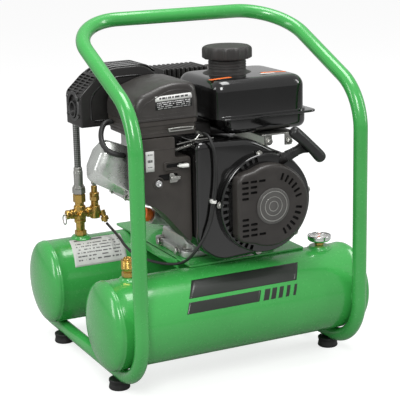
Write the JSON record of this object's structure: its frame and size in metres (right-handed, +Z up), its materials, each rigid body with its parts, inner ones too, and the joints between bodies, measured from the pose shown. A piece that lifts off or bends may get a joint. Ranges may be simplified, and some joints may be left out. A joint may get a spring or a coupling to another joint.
{
  "type": "air compressor",
  "caption": "Hand-carry petrol air compressor: an engine drives a piston pump above side-by-side air tanks, inside one bent tube carrying frame.",
  "frame": {"origin": "middle of the footprint, on the floor", "axes": "+X along the tanks towards the gauge end, +Y to the back where the pump is, +Z up; the recoil starter faces -Y"},
  "size_m": [0.524, 0.4735, 0.6334],
  "materials": {
    "green_paint": "satin gloss green enamel",
    "black_paint": "gloss black enamel",
    "black_plastic": "moulded dark plastic, fine grain",
    "cast_alloy": "die cast, dull",
    "plated_steel": "zinc plated",
    "chrome_bolt": "bright fasteners",
    "braided_steel": "woven wire braid",
    "brass": "turned brass, slightly dull",
    "rubber": "moulded rubber",
    "orange_plastic": "moulded orange",
    "pale_plastic": "moulded off-white",
    "filter_media": "pleated filter media",
    "label": "printed sticker, plain blocks",
    "clear_lens": "clear"
  },
  "bodies": {
    "root": {"frame_tube": "green_paint", "front_tank": "green_paint", "rear_tank": "green_paint", "engine_plate": "green_paint", "foot_front_left": "rubber", "foot_rear_left": "rubber", "foot_front_right": "rubber", "foot_rear_right": "rubber", "breather_hose": "rubber", "throttle_cable": "rubber", "blower_housing": "black_paint", "recoil_cover": "black_paint", "fuel_tank": "black_paint", "muffler_guard": "black_paint", "muffler": "black_paint", "pump_head": "black_paint", "pump_fan_guard": "black_paint", "control_panel": "black_plastic", "air_cleaner_base": "black_plastic", "pump_intake_filter": "black_plastic", "crankcase": "cast_alloy", "crankcase_cover": "cast_alloy", "cylinder_head": "cast_alloy", "rocker_cover": "cast_alloy", "carburettor": "cast_alloy", "pump_crankcase": "cast_alloy", "pump_cylinder": "cast_alloy", "crossover_pipe": "plated_steel", "spark_plug": "plated_steel", "fuel_tank_bracket": "plated_steel", "hose_fitting": "plated_steel", "gauge_body": "plated_steel", "check_valve": "brass", "pilot_valve": "brass", "safety_valve": "brass", "throttle_cylinder": "brass", "coupler_body": "brass", "drain_valve_front": "brass", "drain_valve_rear": "brass", "discharge_hose": "braided_steel", "filter_element": "filter_media", "gauge_lens": "clear_lens"},
    "crank": {"crankshaft": "plated_steel", "flywheel": "cast_alloy", "pump_fan": "cast_alloy"},
    "reel": {"starter_reel": "black_plastic"},
    "grip": {"starter_grip": "rubber"},
    "choke": {"choke_lever": "pale_plastic"},
    "fuel_valve": {"fuel_valve_lever": "plated_steel"},
    "throttle": {"throttle_lever": "plated_steel"},
    "cleaner_cover": {"air_cleaner_cover": "black_plastic"},
    "cleaner_latch": {"air_cleaner_latch": "plated_steel"},
    "cap": {"fuel_cap": "rubber"},
    "oil_cap": {"oil_filler_cap": "orange_plastic"},
    "toggle": {"pilot_toggle": "plated_steel"},
    "safety_pull": {"safety_pull_ring": "plated_steel"},
    "sleeve": {"coupler_sleeve": "plated_steel"},
    "needle": {"gauge_needle": "orange_plastic"},
    "drain_front": {"drain_handle_front": "plated_steel"},
    "drain_rear": {"drain_handle_rear": "plated_steel"}
  },
  "joints": [
    {"name": "crank_spin", "type": "hinge", "parent": "root", "child": "crank", "pos_m": [0.051, 0, 0.3109], "axis": [0, 1, 0], "continuous": true},
    {"name": "starter_pull", "type": "slide", "parent": "root", "child": "grip", "axis": [0.5483, -0.6523, 0.5233], "range_m": [0, 0.5], "stiffness_N_per_m": 20, "springref_m": -0.5},
    {"name": "reel_spin", "type": "hinge", "parent": "root", "child": "reel", "pos_m": [0.051, -0.18, 0.3109], "axis": [0, 1, 0], "range_deg": [0, 720]},
    {"name": "choke_slide", "type": "slide", "parent": "root", "child": "choke", "axis": [-1, 0, 0], "range_m": [0, 0.022]},
    {"name": "fuel_valve_slide", "type": "slide", "parent": "root", "child": "fuel_valve", "axis": [-1, 0, 0], "range_m": [0, 0.018]},
    {"name": "throttle_swing", "type": "hinge", "parent": "root", "child": "throttle", "pos_m": [-0.042, -0.09915, 0.434], "axis": [0, 0, 1], "range_deg": [-15, 15]},
    {"name": "cleaner_cover_lift", "type": "slide", "parent": "root", "child": "cleaner_cover", "axis": [0, 0, 1], "range_m": [0, 0.05]},
    {"name": "cleaner_latch_swing", "type": "hinge", "parent": "root", "child": "cleaner_latch", "pos_m": [-0.097, -0.14685, 0.4514], "axis": [1, 0, 0], "range_deg": [0, 60]},
    {"name": "fuel_cap_turn", "type": "hinge", "parent": "root", "child": "cap", "pos_m": [0.043, -0.05315, 0.552], "axis": [0, 0, 1], "range_deg": [0, 90]},
    {"name": "oil_cap_turn", "type": "hinge", "parent": "root", "child": "oil_cap", "pos_m": [-0.086, -0.00215, 0.2669], "axis": [-0.9404, 0, 0.3401], "range_deg": [0, 360]},
    {"name": "pilot_toggle_swing", "type": "hinge", "parent": "root", "child": "toggle", "pos_m": [-0.137, 0.15885, 0.3024], "axis": [0, -1, 0], "range_deg": [0, 70]},
    {"name": "safety_ring_pull", "type": "slide", "parent": "root", "child": "safety_pull", "axis": [-1, 0, 0], "range_m": [0, 0.004], "stiffness_N_per_m": 1000, "springref_m": -0.002},
    {"name": "coupler_sleeve_slide", "type": "slide", "parent": "root", "child": "sleeve", "axis": [0, 0, -1], "range_m": [0, 0.0024], "stiffness_N_per_m": 800, "springref_m": -0.001},
    {"name": "gauge_needle_turn", "type": "hinge", "parent": "root", "child": "needle", "pos_m": [0.186, -0.13315, 0.2173], "axis": [0, 0, -1], "range_deg": [0, 270], "stiffness_Nm_per_rad": 0.0005},
    {"name": "drain_front_turn", "type": "hinge", "parent": "root", "child": "drain_front", "pos_m": [0, -0.13315, 0.1224], "axis": [0, 0.7071, -0.7071], "range_deg": [0, 90]},
    {"name": "drain_rear_turn", "type": "hinge", "parent": "root", "child": "drain_rear", "pos_m": [0, 0.15885, 0.1224], "axis": [0, -0.7071, -0.7071], "range_deg": [0, 90]}
  ],
  "couplings": [
    {"joint": "reel_spin", "follows": "starter_pull", "rad_per_m": 24.39}
  ]
}
